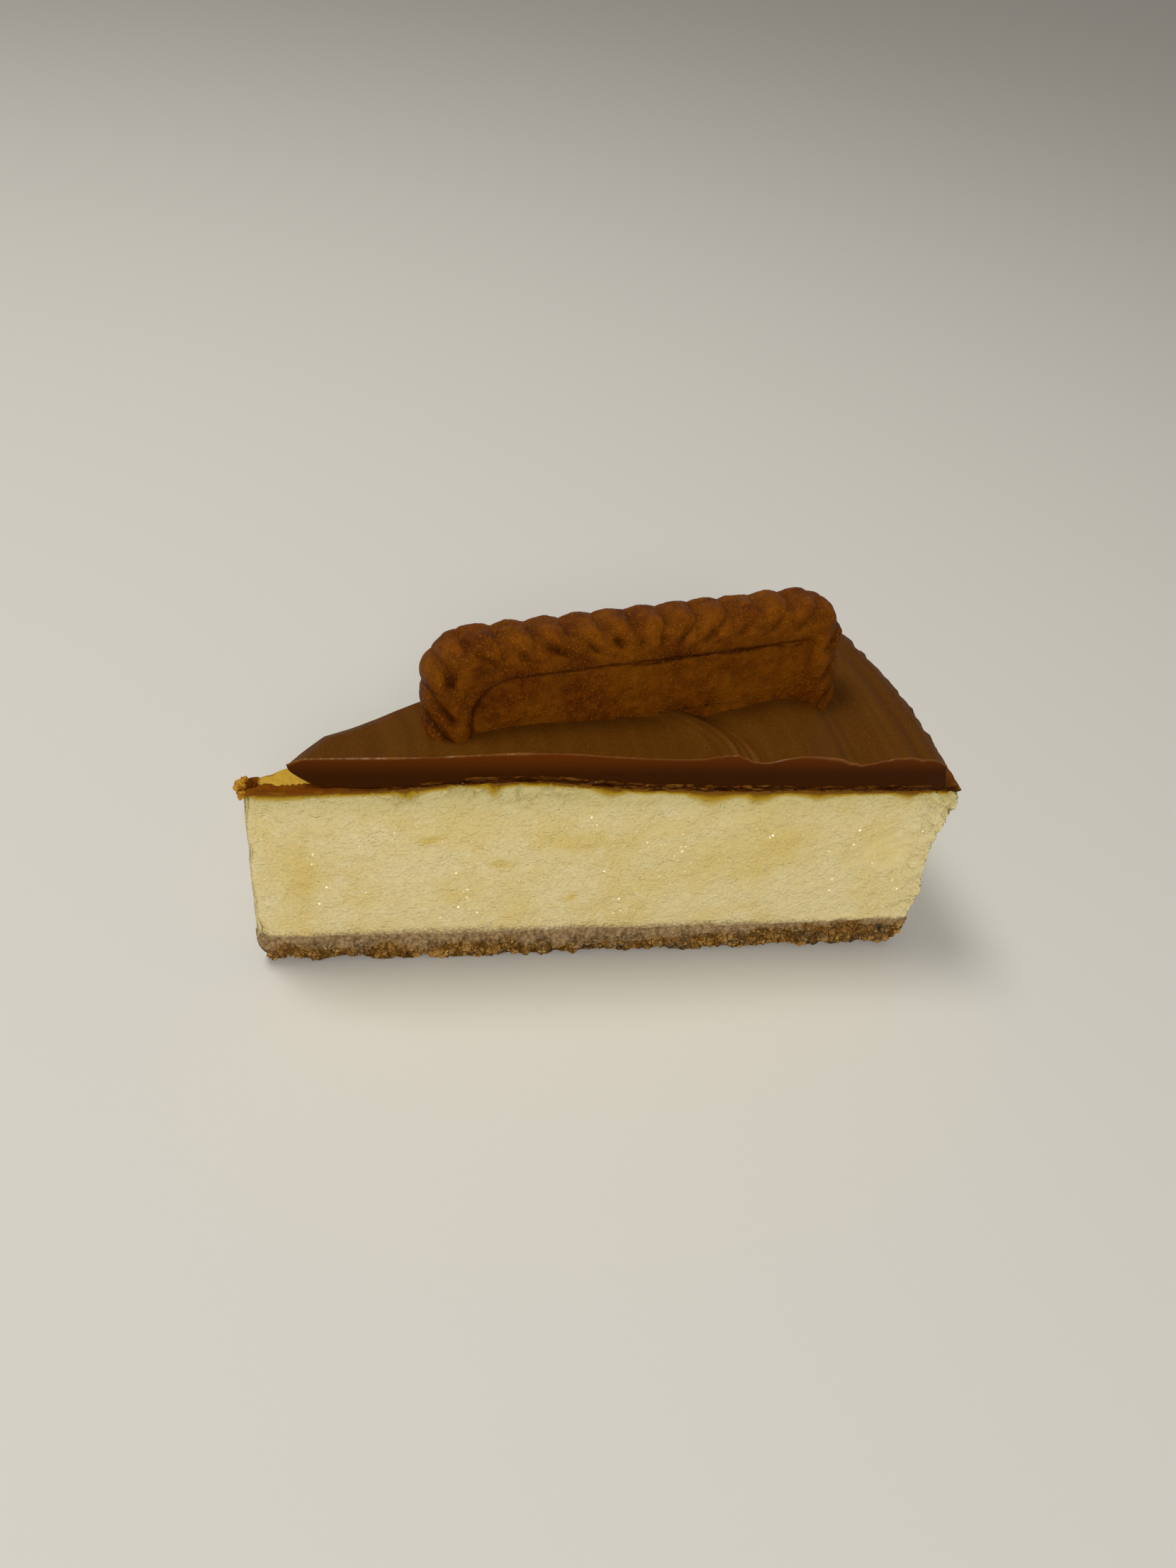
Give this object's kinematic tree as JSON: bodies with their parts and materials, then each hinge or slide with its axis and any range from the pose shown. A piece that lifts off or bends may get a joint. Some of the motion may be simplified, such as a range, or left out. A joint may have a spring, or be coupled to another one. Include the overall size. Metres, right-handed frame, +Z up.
{
  "type": "cheesecake slice",
  "caption": "Wedge of baked cheesecake on a crumb base, spread with caramel topping, with a scalloped spiced biscuit pushed upright into the top.",
  "frame": {"origin": "middle of the bounding box at the underside of the crumb base", "axes": "+X along the middle of the wedge from its tip to its rim, +Z up, -Y on the side of the near cut face"},
  "size_m": [0.1038, 0.0468, 0.056],
  "materials": {
    "crumb_base": "pressed biscuit crumb: greyish brown above, ragged golden brown crumbs below, matt",
    "cheesecake_filling": "baked cream cheese: pale cream yellow, finely wrinkled knife cut, golden brown skin under the topping",
    "caramel_topping": "spread caramel: milk chocolate brown, satin, with spatula ridges and a darker smooth cut face",
    "pressed_biscuit": "baked spiced biscuit: deep amber brown, fine pits, glossy spots and sugar glints"
  },
  "bodies": {
    "root": {"crumb_base": "crumb_base", "cheesecake_filling": "cheesecake_filling", "caramel_topping": "caramel_topping", "pressed_biscuit": "pressed_biscuit"}
  },
  "joints": []
}
